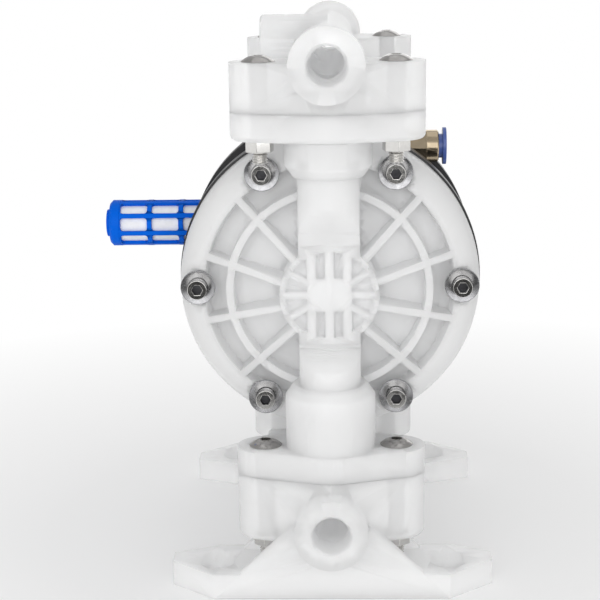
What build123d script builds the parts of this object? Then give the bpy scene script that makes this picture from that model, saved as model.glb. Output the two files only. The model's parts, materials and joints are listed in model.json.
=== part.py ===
from build123d import *
import os
from math import asin, cos, degrees, radians, sin, sqrt

os.makedirs("parts", exist_ok=True)

# Air operated double diaphragm pump with half inch ports.
# X runs across the pump, Y along its shaft and Z up. The origin is on the floor, midway between the
# four foot holes. The front of the pump faces -Y, and what stands at the rear is its mirror image.

# Layout of the pump: the lower ports stand above the floor, and each further level above the last
port_face_distance = 235
column_offset = 82.7
inlet_port_height = 38.3
lower_joint_rise = 20.5
pump_axis_rise = 93.8
upper_joint_rise = 93.5
outlet_port_rise = 24.3

# Fits and clearances
slide_fit = 0.05
running_gap = 0.3

# Ports and pipes of both manifolds
port_radius = 9.3
port_depth = 16
port_chamfer = 1.2
pipe_bore_radius = 8.2
boss_radius = 18.4
boss_length = 17
pipe_radius = 13.6
boss_cone = 6
side_port_reach = 36
side_boss_radius = 17.3

# Valve flanges
flange_radius = 24.3
flange_fillet = 3
ear_radius = 14.4
ear_offset = 33.5
outlet_manifold_flange = 23.9
outlet_chamber_flange = 14.1
inlet_chamber_flange = 16.2
inlet_manifold_flange = 31.2

# Valve columns of the chambers
upper_neck_radius = 21.8
upper_neck_length = 18.1
lower_neck_radius = 22.8
lower_neck_length = 32.9
neck_bevel_height = 5.9
neck_bevel_angle = 35
duct_radius = 15.5
duct_end_reach = 19
upper_duct_slope = 22
lower_duct_slope = 12
slope_overrun = 1.2
duct_bore_radius = 10
duct_bore_end = 46
chamber_port_radius = 9
chamber_port_offset = 30
chamber_port_depth = 8

# Ball valves
ball_radius = 12.5
ball_lift = 4.4
valve_bore_radius = 18
seat_height = 8
seat_throat_radius = 8
seat_cone_depth = 4
cage_wall = 2.4
cage_rib_width = 3
cage_rib_count = 4
stop_radius = 7
stop_thickness = 3
outlet_seat_depth = 24
seal_section = 2.5

# Chamber dome with its ribs, all as radius and reach in front of the middle of the pump
chamber_radius = 78
chamber_shoulder = 47
rim_reach = 62
rim_outer_radius = 67
rim_inner_radius = 64.5
rim_arc_radius = 18
dome_radius = 63
pocket_reach = 50
dome_reach = 63
liquid_bore_radius = 58
liquid_reach = 57
liquid_wall_height = 6
liquid_wall_draft = 2.5
rib_width = 3.8
rib_count = 12
rib_draft = 0.6
rib_hub_drop = 1
rib_rim_drop = 0.4
rib_ring_radius = 51
rib_ring_reach = 68
hub_radius = 25.2
hub_wall = 3
hub_reach = 81
hub_floor_reach = 76
hub_core_size = 17
hub_bar_offset = 9
hub_bar_width = 4.4
hub_web = 3

# Centre section
block_half_depth = 16
block_width = 76
block_cover = 3.1
block_bottom = 55
block_inset = 3
gasket_thickness = 0.8
disc_floor = 4
disc_rim_reach = 35
disc_rim_thickness = 12
disc_back_radius = 54
disc_back_cone = 3
dish_radius = 40
dish_cone = 8
dish_step = 2
shaft_hole_gap = 1
inlet_air_rise = 20.2
inlet_boss_radius = 10
inlet_boss_reach = 42
exhaust_drop = 20.4
exhaust_boss_radius = 10.2
exhaust_boss_reach = 46
drilling_radius = 3.5
exhaust_drilling_radius = 6
thread_relief = 1

# Shaft and diaphragms
shaft_radius = 8
shaft_stroke = 6
rod_chamfer = 0.6
stud_radius = 5
stud_length = 12
bush_radius = 10
bush_length = 7
shaft_seal_length = 3
diaphragm_thickness = 1.8
diaphragm_roll = 6
diaphragm_flat = 6
inner_plate_radius = 32
inner_plate_thickness = 4
outer_plate_radius = 30
outer_plate_height = 12
outer_plate_edge = 3

# Air valve
valve_rise = 43.7
valve_sleeve_radius = 10
valve_bore = 6.5
spool_waist_radius = 4.2
spool_travel = 4
spool_land_width = 7
spool_ring_width = 1.6
spool_ring_depth = 1.2
valve_port_spacing = 15
plug_thickness = 6
plug_socket_radius = 4
pilot_drop = 26
pilot_radius = 4
pilot_bush_radius = 6
pilot_bush_length = 7
pilot_ratio = 0.5

# Muffler
muffler_radius = 12.5
muffler_wall = 2
muffler_shoulder = 4
muffler_end = 120
muffler_nub = 2
muffler_nub_radius = 7.4
muffler_cap_length = 5.6
muffler_bevel = 1.5
muffler_thread_radius = 8.3
muffler_thread_length = 10
muffler_rows = 8
muffler_columns = 4
window_length = 14.6
window_height = 7
window_pitch = 17.1
window_radius = 1.6
window_turn = 4.5
element_wall = 3

# Tube fitting
tube_radius = 5
fitting_thread_radius = 6.5
fitting_thread_length = 9
hex_across_flats = 17
hex_length = 10.5
fitting_radius = 8.7
fitting_length = 6.5
fitting_cavity_radius = 7.3
fitting_mouth_radius = 6.8
fitting_mouth_length = 2
fitting_cavity_length = 7
fitting_chamfer = 0.8
tube_stop = 2
tube_seal_width = 2.2
grip_thickness = 0.8
collar_outer_radius = 6.5
collar_flange_thickness = 2
collar_flange_height = 20
collar_flange_width = 15
collar_travel = 1.2
collar_stand_off = 1
collar_barb = 1

# Screws through the chamber rims
chamber_screw_radius = 3
chamber_screw_circle = 68.06
chamber_screw_count = 6
screw_seat_reach = 58.7
screw_seat_radius = 10.2
washer_radius = 9
washer_thickness = 1.6
screw_head_radius = 5
screw_head_height = 6
screw_socket_radius = 2.9
screw_socket_depth = 3
chamber_nut_radius = 5.8
chamber_nut_height = 5
chamber_screw_end = 1
disc_screw_radius = 2.5
disc_screw_circle = 35
disc_screw_angles = (15, 165, 195, 345)
disc_screw_head_radius = 4.25
disc_screw_head_height = 3
disc_screw_length = 10

# Screws through the valve flanges
flange_screw_radius = 4
button_radius = 8.5
button_height = 3.4
button_socket_radius = 2.9
button_socket_depth = 2.2
flange_nut_radius = 7.3
flange_nut_height = 6
flange_nut_turn = 20
flange_screw_end = 6
screw_hole_gap = 0.3

# Feet
foot_half_width = 82.8
foot_front = 106
foot_front_half_width = 60
foot_end_front = 86.5
foot_end_rear = 75
foot_rear = 65
foot_rear_half_width = 60
foot_thickness = 13.1
foot_hole_offset_x = 59.5
foot_hole_offset_y = 85.5
foot_hole_radius = 4.75
foot_pad_radius = 8.5
foot_pad_length = 23
foot_pad_depth = 4
web_thickness = 6
web_foot_half_width = 46.6
web_top_half_width = 20

# Places that follow from the sizes above
lower_joint_height = inlet_port_height + lower_joint_rise
pump_axis_height = lower_joint_height + pump_axis_rise
upper_joint_height = pump_axis_height + upper_joint_rise
outlet_port_height = upper_joint_height + outlet_port_rise
upper_neck_bottom = upper_joint_height - outlet_chamber_flange - upper_neck_length
lower_neck_top = lower_joint_height + inlet_chamber_flange + lower_neck_length
valve_height = pump_axis_height + valve_rise
inlet_air_height = valve_height + inlet_air_rise
exhaust_height = valve_height - exhaust_drop
block_top = inlet_air_height - pump_axis_height + block_cover
block_radius = chamber_radius - block_inset
clamp_reach = disc_rim_reach + diaphragm_thickness
liquid_dome_start = clamp_reach + liquid_wall_height
liquid_dome_radius = liquid_bore_radius - liquid_wall_draft
port_face = port_face_distance / 2
nut_reach = disc_rim_reach - disc_rim_thickness
shaft_half_length = disc_rim_reach - inner_plate_thickness
disc_back_reach = block_half_depth + gasket_thickness
disc_floor_reach = disc_back_reach + disc_floor
ball_seat_height = (
    seat_height - seat_cone_depth - seat_throat_radius + (ball_radius + running_gap) * sqrt(2)
)
stop_height = ball_seat_height + sqrt(ball_radius**2 - stop_radius**2) + ball_lift + running_gap
valve_stack_height = stop_height + stop_thickness
cage_radius = valve_bore_radius - slide_fit
seal_rebate = seal_section + 2 * slide_fit
inlet_seat_bottom = lower_joint_height
outlet_seat_bottom = upper_joint_height - outlet_seat_depth
sleeve_half_length = block_width / 2 - plug_thickness
pilot_reach = shaft_half_length - shaft_stroke * (1 - pilot_ratio) - running_gap

pump_axis = Axis((0, 0, pump_axis_height), (0, 1, 0))
# In the half section, local x is the radius from the pump axis and local y the reach to the front
half_section = Plane((0, 0, pump_axis_height), x_dir=(0, 0, 1), z_dir=(1, 0, 0))


def facing_front(reach, height=pump_axis_height):
    """Plane that looks to the front at this reach, with its x across the pump and its y up"""
    return Plane((0, -reach, height), x_dir=(1, 0, 0), z_dir=(0, -1, 0))


def facing_right(x, height):
    """Plane across the air fittings, with its x to the rear and its y up"""
    return Plane((x, 0, height), x_dir=(0, 1, 0), z_dir=(1, 0, 0))


def radial_section(angle):
    """Half section of the pump turned about its axis"""
    across = radians(angle)
    return Plane(
        (0, 0, pump_axis_height),
        x_dir=(cos(across), 0, sin(across)),
        z_dir=(sin(across), 0, -cos(across)),
    )


def column(height, side=-1):
    """Level plane at a height on the axis of the front or rear valve column"""
    return Plane((0, side * column_offset, height))


def air_way(side):
    """Plane of the air way from the valve to one side's air chamber"""
    return Plane((-side * valve_port_spacing, 0, valve_height), x_dir=(-side, 0, 0), z_dir=(0, side, 0))


def crown(radius, rise):
    """Radius of the sphere whose cap has this radius and rise"""
    return (radius**2 + rise**2) / (2 * rise)


def flange_outline(plane):
    """Outline of a valve flange: a round middle drawn out to an ear for each screw"""
    with BuildSketch(plane) as outline:
        with BuildLine():
            CenterArc((0, 0), flange_radius, 0, 360)
            CenterArc((-ear_offset, 0), ear_radius, 0, 360)
            CenterArc((ear_offset, 0), ear_radius, 0, 360)
        make_hull()
    return outline.sketch


def save(piece, name):
    """Labels a piece and writes it to its own file"""
    piece.part.label = name
    export_step(piece.part, f"parts/{name}.step")


def save_pair(piece, name):
    """Writes a front piece, and its mirror image as the rear piece"""
    save(piece, f"front_{name}")
    with BuildPart() as rear_piece:
        mirror(piece.part, about=Plane.XZ)
    save(rear_piece, f"rear_{name}")


# Front liquid chamber: valve flanges first, so that their lower edges are rounded before the rest joins
with BuildPart() as front_chamber:
    extrude(flange_outline(column(upper_joint_height)), amount=-outlet_chamber_flange)
    fillet(front_chamber.edges().group_by(Axis.Z)[0], flange_fillet)
    extrude(flange_outline(column(lower_joint_height)), amount=inlet_chamber_flange)
    # Necks round the valves, bevelled where the ducts leave them
    for neck_end, neck_side, neck_length, neck_radius in (
        (upper_neck_bottom, -1, upper_neck_length, upper_neck_radius),
        (lower_neck_top, 1, lower_neck_length, lower_neck_radius),
    ):
        with BuildSketch(column(neck_end - neck_side * neck_length)):
            Circle(neck_radius)
        extrude(amount=neck_side * (neck_length - neck_bevel_height))
        with BuildSketch(column(neck_end - neck_side * neck_bevel_height)):
            Circle(neck_radius)
        extrude(amount=neck_side * neck_bevel_height, taper=neck_bevel_angle)
    # Ducts down the front of the dome, round in front and flat sided back to the dome
    for duct_start, duct_end in (
        (pump_axis_height + duct_end_reach, upper_neck_bottom + neck_bevel_height),
        (lower_neck_top - neck_bevel_height, pump_axis_height - duct_end_reach),
    ):
        with BuildSketch(column(duct_start)):
            Circle(duct_radius)
            with Locations((0, (column_offset - pocket_reach) / 2)):
                Rectangle(2 * duct_radius, column_offset - pocket_reach)
        extrude(amount=duct_end - duct_start)
    # Slopes that take the ducts back to the level of the hub
    slope_front = hub_reach + slope_overrun * (column_offset + duct_radius - hub_reach)
    with BuildSketch(half_section):
        for duct_side, duct_slope in ((1, upper_duct_slope), (-1, lower_duct_slope)):
            with BuildLine():
                Polyline(
                    (0, hub_reach),
                    (duct_side * hub_radius, hub_reach),
                    (duct_side * (hub_radius + slope_overrun * duct_slope), slope_front),
                    (0, slope_front),
                    close=True,
                )
            make_face()
    extrude(amount=upper_neck_radius, both=True, mode=Mode.SUBTRACT)
    # Dome with the clamp rim
    with BuildSketch(half_section):
        with BuildLine():
            Polyline((0, clamp_reach), (chamber_radius, clamp_reach), (chamber_radius, chamber_shoulder))
            RadiusArc((chamber_radius, chamber_shoulder), (rim_outer_radius, rim_reach), -rim_arc_radius)
            Line((rim_outer_radius, rim_reach), (rim_inner_radius, rim_reach))
            Line((rim_inner_radius, rim_reach), (dome_radius, pocket_reach))
            RadiusArc(
                (dome_radius, pocket_reach), (0, dome_reach), -crown(dome_radius, dome_reach - pocket_reach)
            )
            Line((0, dome_reach), (0, clamp_reach))
        make_face()
    revolve(axis=pump_axis)
    # Ring rib
    with BuildSketch(half_section):
        with BuildLine():
            Polyline(
                (rib_ring_radius - rib_width / 2 - rib_draft, pocket_reach),
                (rib_ring_radius + rib_width / 2 + rib_draft, pocket_reach),
                (rib_ring_radius + rib_width / 2, rib_ring_reach),
                (rib_ring_radius - rib_width / 2, rib_ring_reach),
                close=True,
            )
        make_face()
    revolve(axis=pump_axis)
    # Radial ribs from the hub to the rim
    with BuildSketch(*[radial_section(180 / rib_count + 360 / rib_count * k) for k in range(rib_count)]):
        with BuildLine():
            Polyline(
                (hub_radius - hub_wall / 2, pocket_reach),
                (hub_radius - hub_wall / 2, hub_reach - rib_hub_drop),
                (rib_ring_radius, rib_ring_reach),
                (rim_outer_radius, rim_reach - rib_rim_drop),
                (rim_outer_radius, pocket_reach),
                close=True,
            )
        make_face()
    extrude(amount=rib_width / 2, both=True)
    # Hub: a ring with a solid core, three upright bars and webs, over a sunk floor
    with BuildSketch(facing_front(pocket_reach)):
        Circle(hub_radius)
    extrude(amount=hub_reach - pocket_reach)
    with BuildSketch(facing_front(hub_reach)):
        Circle(hub_radius - hub_wall)
        Rectangle(hub_core_size, hub_core_size, mode=Mode.SUBTRACT)
        for bar_x in (-hub_bar_offset, 0, hub_bar_offset):
            with Locations((bar_x, 0)):
                Rectangle(hub_bar_width, 2 * hub_radius, mode=Mode.SUBTRACT)
        for web_angle in (-30, 0, 30):
            Rectangle(2 * hub_radius, hub_web, rotation=web_angle, mode=Mode.SUBTRACT)
    extrude(amount=hub_floor_reach - hub_reach, mode=Mode.SUBTRACT)
    # Liquid space behind the dome
    with BuildSketch(half_section):
        with BuildLine():
            Polyline((0, liquid_reach), (0, clamp_reach), (liquid_bore_radius, clamp_reach))
            Line((liquid_bore_radius, clamp_reach), (liquid_dome_radius, liquid_dome_start))
            RadiusArc(
                (liquid_dome_radius, liquid_dome_start),
                (0, liquid_reach),
                -crown(liquid_dome_radius, liquid_reach - liquid_dome_start),
            )
        make_face()
    revolve(axis=pump_axis, mode=Mode.SUBTRACT)
    # Valve bores, duct bores and the slanted ports from these into the liquid space
    with BuildSketch(column(lower_joint_height)):
        Circle(valve_bore_radius)
    extrude(amount=valve_stack_height, mode=Mode.SUBTRACT)
    with BuildSketch(column(upper_joint_height)):
        Circle(valve_bore_radius)
    extrude(amount=-outlet_seat_depth, mode=Mode.SUBTRACT)
    for bore_start, bore_end in (
        (lower_joint_height, pump_axis_height - duct_bore_end),
        (upper_joint_height, pump_axis_height + duct_bore_end),
    ):
        with BuildSketch(column(bore_start)):
            Circle(duct_bore_radius)
        extrude(amount=bore_end - bore_start, mode=Mode.SUBTRACT)
    port_end_reach = liquid_reach - chamber_port_depth
    for side in (-1, 1):
        port_start = Vector(0, -column_offset, pump_axis_height + side * duct_bore_end)
        port_end = Vector(0, -port_end_reach, pump_axis_height + side * chamber_port_offset)
        with BuildSketch(Plane(port_start, z_dir=port_end - port_start)):
            Circle(chamber_port_radius)
        extrude(amount=(port_end - port_start).length, mode=Mode.SUBTRACT)
    # Screw seats sunk into the rim, and the screw holes
    with BuildSketch(facing_front(screw_seat_reach)):
        with PolarLocations(chamber_screw_circle, chamber_screw_count):
            Circle(screw_seat_radius)
    extrude(amount=rim_reach - screw_seat_reach + screw_head_height, mode=Mode.SUBTRACT)
    with BuildSketch(facing_front(clamp_reach)):
        with PolarLocations(chamber_screw_circle, chamber_screw_count):
            Circle(chamber_screw_radius + screw_hole_gap)
    extrude(amount=screw_seat_reach - clamp_reach, mode=Mode.SUBTRACT)
    for joint_height, flange in (
        (upper_joint_height, -outlet_chamber_flange),
        (lower_joint_height, inlet_chamber_flange),
    ):
        with BuildSketch(column(joint_height)):
            with Locations((-ear_offset, 0), (ear_offset, 0)):
                Circle(flange_screw_radius + screw_hole_gap)
        extrude(amount=flange, mode=Mode.SUBTRACT)
save_pair(front_chamber, "chamber")


def manifold_bores(port_height):
    """Bores of a manifold: its pipe, and the three ports with the chamfers at their mouths"""
    mouths = (
        facing_front(port_face, port_height),
        Plane((0, port_face, port_height), x_dir=(-1, 0, 0), z_dir=(0, 1, 0)),
        Plane((-side_port_reach, 0, port_height), x_dir=(0, -1, 0), z_dir=(-1, 0, 0)),
    )
    with BuildPart() as bores:
        with BuildSketch(mouths[0]):
            Circle(pipe_bore_radius)
        extrude(amount=-port_face_distance)
        with BuildSketch(mouths[2]):
            Circle(pipe_bore_radius)
        extrude(amount=-side_port_reach)
        for mouth in mouths:
            with BuildSketch(mouth):
                Circle(port_radius)
            extrude(amount=-port_depth)
            with BuildSketch(mouth):
                Circle(port_radius + port_chamfer)
            extrude(amount=-port_chamfer, taper=45)
    return bores.part


def manifold_pipe(port_height):
    """Pipe of a manifold with its end bosses and the boss of the side port"""
    with BuildPart() as pipe:
        with BuildSketch(Plane((0, 0, port_height), x_dir=(0, 1, 0), z_dir=(1, 0, 0))):
            with BuildLine():
                Polyline(
                    (-port_face, 0),
                    (-port_face, boss_radius),
                    (-port_face + boss_length, boss_radius),
                    (-port_face + boss_length + boss_cone, pipe_radius),
                    (port_face - boss_length - boss_cone, pipe_radius),
                    (port_face - boss_length, boss_radius),
                    (port_face, boss_radius),
                    (port_face, 0),
                    close=True,
                )
            make_face()
        revolve(axis=Axis((0, 0, port_height), (0, 1, 0)))
        with BuildSketch(facing_right(-side_port_reach, port_height)):
            Circle(side_boss_radius)
        extrude(amount=side_port_reach)
        chamfer(pipe.edges().filter_by(GeomType.CIRCLE).sort_by(Axis.X)[0], port_chamfer)
    return pipe.part


# Outlet manifold
with BuildPart() as outlet_manifold:
    for side in (-1, 1):
        extrude(flange_outline(column(upper_joint_height, side)), amount=outlet_manifold_flange)
    add(manifold_pipe(outlet_port_height))
    add(manifold_bores(outlet_port_height), mode=Mode.SUBTRACT)
    for side in (-1, 1):
        with BuildSketch(column(upper_joint_height, side)):
            Circle(valve_bore_radius)
        extrude(amount=valve_stack_height - outlet_seat_depth, mode=Mode.SUBTRACT)
        with BuildSketch(column(upper_joint_height, side)):
            Circle(valve_bore_radius + seal_rebate)
        extrude(amount=seal_rebate, mode=Mode.SUBTRACT)
        with BuildSketch(column(upper_joint_height, side)):
            Circle(seat_throat_radius)
        extrude(amount=outlet_port_height - upper_joint_height, mode=Mode.SUBTRACT)
        with BuildSketch(column(upper_joint_height, side)):
            with Locations((-ear_offset, 0), (ear_offset, 0)):
                Circle(flange_screw_radius + screw_hole_gap)
        extrude(amount=outlet_manifold_flange, mode=Mode.SUBTRACT)
save(outlet_manifold, "outlet_manifold")

# Inlet manifold with the feet
flange_underside = lower_joint_height - inlet_manifold_flange
with BuildPart() as inlet_manifold:
    for side in (-1, 1):
        extrude(flange_outline(column(lower_joint_height, side)), amount=-inlet_manifold_flange)
    fillet(inlet_manifold.edges().group_by(Axis.Z)[0], flange_fillet)
    # Foot plates
    for side in (-1, 1):
        with BuildSketch(Plane.XY):
            with BuildLine():
                Polyline(
                    (-foot_front_half_width, side * foot_front),
                    (foot_front_half_width, side * foot_front),
                    (foot_half_width, side * foot_end_front),
                    (foot_half_width, side * foot_end_rear),
                    (foot_rear_half_width, side * foot_rear),
                    (-foot_rear_half_width, side * foot_rear),
                    (-foot_half_width, side * foot_end_rear),
                    (-foot_half_width, side * foot_end_front),
                    close=True,
                )
            make_face()
        extrude(amount=foot_thickness)
    # Webs from the feet up to the pipe
    web_planes = []
    for side in (-1, 1):
        for web_front in (foot_front, foot_rear + web_thickness):
            web_planes.append(Plane((0, side * web_front, 0), x_dir=(-side, 0, 0), z_dir=(0, side, 0)))
    with BuildSketch(*web_planes):
        with BuildLine():
            Polyline(
                (-web_foot_half_width, 0),
                (web_foot_half_width, 0),
                (web_foot_half_width, foot_thickness),
                (web_top_half_width, inlet_port_height),
                (-web_top_half_width, inlet_port_height),
                (-web_foot_half_width, foot_thickness),
                close=True,
            )
        make_face()
    extrude(amount=-web_thickness)
    add(manifold_pipe(inlet_port_height))
    add(manifold_bores(inlet_port_height), mode=Mode.SUBTRACT)
    for side in (-1, 1):
        with BuildSketch(column(lower_joint_height, side)):
            Circle(seat_throat_radius)
        extrude(amount=inlet_port_height - lower_joint_height, mode=Mode.SUBTRACT)
        with BuildSketch(column(lower_joint_height, side)):
            with Locations((-ear_offset, 0), (ear_offset, 0)):
                Circle(flange_screw_radius + screw_hole_gap)
        extrude(amount=-inlet_manifold_flange, mode=Mode.SUBTRACT)
    # Foot holes, each in a sunk pad that is longer along the pump
    hole_places = [(x * foot_hole_offset_x, y * foot_hole_offset_y) for x in (-1, 1) for y in (-1, 1)]
    with BuildSketch(Plane.XY):
        with Locations(*hole_places):
            Circle(foot_hole_radius)
    extrude(amount=foot_thickness, mode=Mode.SUBTRACT)
    with BuildSketch(Plane.XY.offset(foot_thickness)):
        with Locations(*hole_places):
            SlotOverall(foot_pad_length, 2 * foot_pad_radius, rotation=90)
    extrude(amount=-foot_pad_depth, mode=Mode.SUBTRACT)
save(inlet_manifold, "inlet_manifold")


def valve_pieces(name, seat_bottom):
    """Seat, cage and ball of one front valve, with the seat at its height, and their mirror images"""
    with BuildPart() as seat:
        with BuildSketch(column(seat_bottom)):
            Circle(cage_radius)
            Circle(seat_throat_radius, mode=Mode.SUBTRACT)
        extrude(amount=seat_height)
        with BuildSketch(column(seat_bottom + seat_height)):
            Circle(seat_throat_radius + seat_cone_depth)
        extrude(amount=-seat_cone_depth, taper=45, mode=Mode.SUBTRACT)
        with BuildSketch(column(seat_bottom)):
            Circle(cage_radius)
            Circle(cage_radius - seal_rebate, mode=Mode.SUBTRACT)
        extrude(amount=seal_rebate, mode=Mode.SUBTRACT)
    save_pair(seat, f"{name}_seat")

    rib_outer = cage_radius - cage_wall / 2
    guide_radius = ball_radius + running_gap
    with BuildPart() as cage:
        with BuildSketch(column(seat_bottom + seat_height)):
            Circle(cage_radius)
            Circle(cage_radius - cage_wall, mode=Mode.SUBTRACT)
        extrude(amount=valve_stack_height - seat_height)
        # Guide ribs beside the ball, and above it the stops that limit its lift
        for rib_inner, rib_bottom, rib_top in (
            (guide_radius, seat_height, stop_height),
            (stop_radius, stop_height, valve_stack_height),
        ):
            with BuildSketch(column(seat_bottom + rib_bottom)):
                with PolarLocations((rib_inner + rib_outer) / 2, cage_rib_count, start_angle=45):
                    Rectangle(rib_outer - rib_inner, cage_rib_width)
            extrude(amount=rib_top - rib_bottom)
    save_pair(cage, f"{name}_cage")

    with BuildPart() as ball:
        with Locations(column(seat_bottom + ball_seat_height).origin):
            Sphere(ball_radius)
    save_pair(ball, f"{name}_ball")


valve_pieces("inlet", inlet_seat_bottom)
valve_pieces("outlet", outlet_seat_bottom)


def column_seals(name, height, ring_radius):
    """Round seals of the two columns, as one node of two rings"""
    with BuildPart() as seals:
        with Locations(column(height, -1).origin, column(height, 1).origin):
            Torus(ring_radius, seal_section / 2)
    save(seals, name)


seat_seal_radius = cage_radius - seal_rebate / 2
column_seals("inlet_seat_seals", inlet_seat_bottom + seal_rebate / 2, seat_seal_radius)
column_seals("outlet_seat_seals", outlet_seat_bottom + seal_rebate / 2, seat_seal_radius)
column_seals(
    "outlet_joint_seals", upper_joint_height + seal_rebate / 2, valve_bore_radius + seal_rebate / 2
)

# Front air chamber disc, dished for the diaphragm
with BuildPart() as front_air_disc:
    with BuildSketch(half_section):
        with BuildLine():
            Polyline(
                (shaft_radius + shaft_hole_gap, disc_back_reach),
                (disc_back_radius, disc_back_reach),
                (disc_back_radius + disc_back_cone, nut_reach),
                (chamber_radius, nut_reach),
                (chamber_radius, disc_rim_reach),
                (liquid_bore_radius, disc_rim_reach),
                (dish_radius + dish_cone, disc_floor_reach + dish_step),
                (dish_radius, disc_floor_reach),
                (shaft_radius + shaft_hole_gap, disc_floor_reach),
                close=True,
            )
        make_face()
    revolve(axis=pump_axis)
    with BuildSketch(facing_front(0)):
        with PolarLocations(chamber_screw_circle, chamber_screw_count):
            Circle(chamber_screw_radius + screw_hole_gap)
        with Locations((0, -pilot_drop)):
            Circle(pilot_radius + running_gap)
        with Locations((valve_port_spacing, valve_height - pump_axis_height)):
            Circle(drilling_radius)
        for screw_angle in disc_screw_angles:
            with PolarLocations(disc_screw_circle, 1, start_angle=screw_angle):
                Circle(disc_screw_radius + slide_fit)
    extrude(amount=disc_rim_reach, mode=Mode.SUBTRACT)
save_pair(front_air_disc, "air_disc")


def block_outline(plane):
    """Outline of the centre block: a plain block with its corners kept inside the discs"""
    with BuildSketch(plane) as outline:
        Circle(block_radius)
        with Locations((0, (block_top - block_bottom) / 2)):
            Rectangle(block_width, block_top + block_bottom, mode=Mode.INTERSECT)
    return outline.sketch


# Gasket behind each air chamber disc, as wide as the back of the disc
with BuildPart() as front_body_gasket:
    extrude(block_outline(facing_front(block_half_depth)), amount=gasket_thickness)
    with BuildSketch(facing_front(block_half_depth)):
        Circle(disc_back_radius)
    extrude(amount=gasket_thickness, mode=Mode.INTERSECT)
    with BuildSketch(facing_front(block_half_depth)):
        Circle(bush_radius)
        with Locations((0, -pilot_drop)):
            Circle(pilot_bush_radius)
        with Locations((valve_port_spacing, valve_height - pump_axis_height)):
            Circle(drilling_radius)
        for screw_angle in disc_screw_angles:
            with PolarLocations(disc_screw_circle, 1, start_angle=screw_angle):
                Circle(disc_screw_radius + slide_fit)
    extrude(amount=gasket_thickness, mode=Mode.SUBTRACT)
save_pair(front_body_gasket, "body_gasket")

# Centre block with the bores for shaft, pilot rod and air valve
with BuildPart() as centre_block:
    extrude(block_outline(facing_front(0)), amount=block_half_depth, both=True)
    with BuildSketch(facing_right(0, inlet_air_height)):
        Circle(inlet_boss_radius)
    extrude(amount=inlet_boss_reach)
    with BuildSketch(facing_right(-exhaust_boss_reach, exhaust_height)):
        Circle(exhaust_boss_radius)
    extrude(amount=exhaust_boss_reach)
    with BuildSketch(facing_front(0)):
        Circle(bush_radius)
        with Locations((0, -pilot_drop)):
            Circle(pilot_bush_radius)
    extrude(amount=block_half_depth, both=True, mode=Mode.SUBTRACT)
    with BuildSketch(facing_right(0, valve_height)):
        Circle(valve_sleeve_radius)
    extrude(amount=block_width / 2, both=True, mode=Mode.SUBTRACT)
    # Air inlet, exhaust and the ways to the two air chambers
    with BuildSketch(facing_right(inlet_boss_reach, inlet_air_height)):
        Circle(fitting_thread_radius + slide_fit)
    extrude(amount=-fitting_thread_length - thread_relief, mode=Mode.SUBTRACT)
    with BuildSketch(facing_right(inlet_boss_reach, inlet_air_height)):
        Circle(drilling_radius)
    extrude(amount=-inlet_boss_reach, mode=Mode.SUBTRACT)
    with BuildSketch(Plane.XY.offset(valve_height)):
        Circle(drilling_radius)
    extrude(amount=inlet_air_height - valve_height, mode=Mode.SUBTRACT)
    with BuildSketch(facing_right(-exhaust_boss_reach, exhaust_height)):
        Circle(muffler_thread_radius + slide_fit)
    extrude(amount=muffler_thread_length + thread_relief, mode=Mode.SUBTRACT)
    with BuildSketch(facing_right(-exhaust_boss_reach, exhaust_height)):
        Circle(exhaust_drilling_radius)
    extrude(amount=exhaust_boss_reach - valve_port_spacing, mode=Mode.SUBTRACT)
    with BuildSketch(Plane((-valve_port_spacing, 0, exhaust_height))):
        Circle(drilling_radius)
    extrude(amount=valve_height - exhaust_height, mode=Mode.SUBTRACT)
    for side in (-1, 1):
        with BuildSketch(air_way(side)):
            Circle(drilling_radius)
        extrude(amount=block_half_depth, mode=Mode.SUBTRACT)
    # Blind holes for the disc screws
    for side in (-1, 1):
        for screw_angle in disc_screw_angles:
            with BuildSketch(facing_front(-side * block_half_depth)):
                with PolarLocations(disc_screw_circle, 1, start_angle=screw_angle):
                    Circle(disc_screw_radius + slide_fit)
            extrude(amount=side * disc_screw_length, mode=Mode.SUBTRACT)
save(centre_block, "centre_block")

# Screws that hold the discs to the block
with BuildPart() as disc_screws:
    for side in (-1, 1):
        for screw_angle in disc_screw_angles:
            with BuildSketch(facing_front(-side * disc_floor_reach)):
                with PolarLocations(disc_screw_circle, 1, start_angle=screw_angle):
                    Circle(disc_screw_head_radius)
            extrude(amount=-side * disc_screw_head_height)
            with BuildSketch(facing_front(-side * disc_floor_reach)):
                with PolarLocations(disc_screw_circle, 1, start_angle=screw_angle):
                    Circle(disc_screw_radius)
            extrude(amount=side * (disc_screw_length + disc_floor))
save(disc_screws, "disc_screws")

# Shaft with its bushes and lip seals
with BuildPart() as main_shaft:
    with BuildSketch(facing_front(0)):
        Circle(shaft_radius)
    extrude(amount=shaft_half_length, both=True)
    chamfer(main_shaft.edges().filter_by(GeomType.CIRCLE), rod_chamfer)
    with BuildSketch(facing_front(0)):
        Circle(stud_radius)
    extrude(amount=shaft_half_length + inner_plate_thickness + stud_length, both=True)
save(main_shaft, "main_shaft")

with BuildPart() as shaft_bushes:
    for side in (-1, 1):
        with BuildSketch(facing_front(-side * (block_half_depth - bush_length - shaft_seal_length))):
            Circle(bush_radius - slide_fit)
            Circle(shaft_radius + slide_fit, mode=Mode.SUBTRACT)
        extrude(amount=-side * bush_length)
save(shaft_bushes, "shaft_bushes")

with BuildPart() as shaft_seals:
    for side in (-1, 1):
        with BuildSketch(facing_front(-side * (block_half_depth - shaft_seal_length))):
            Circle(bush_radius - slide_fit)
            Circle(shaft_radius + slide_fit, mode=Mode.SUBTRACT)
        extrude(amount=-side * shaft_seal_length)
save(shaft_seals, "shaft_seals")

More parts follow.
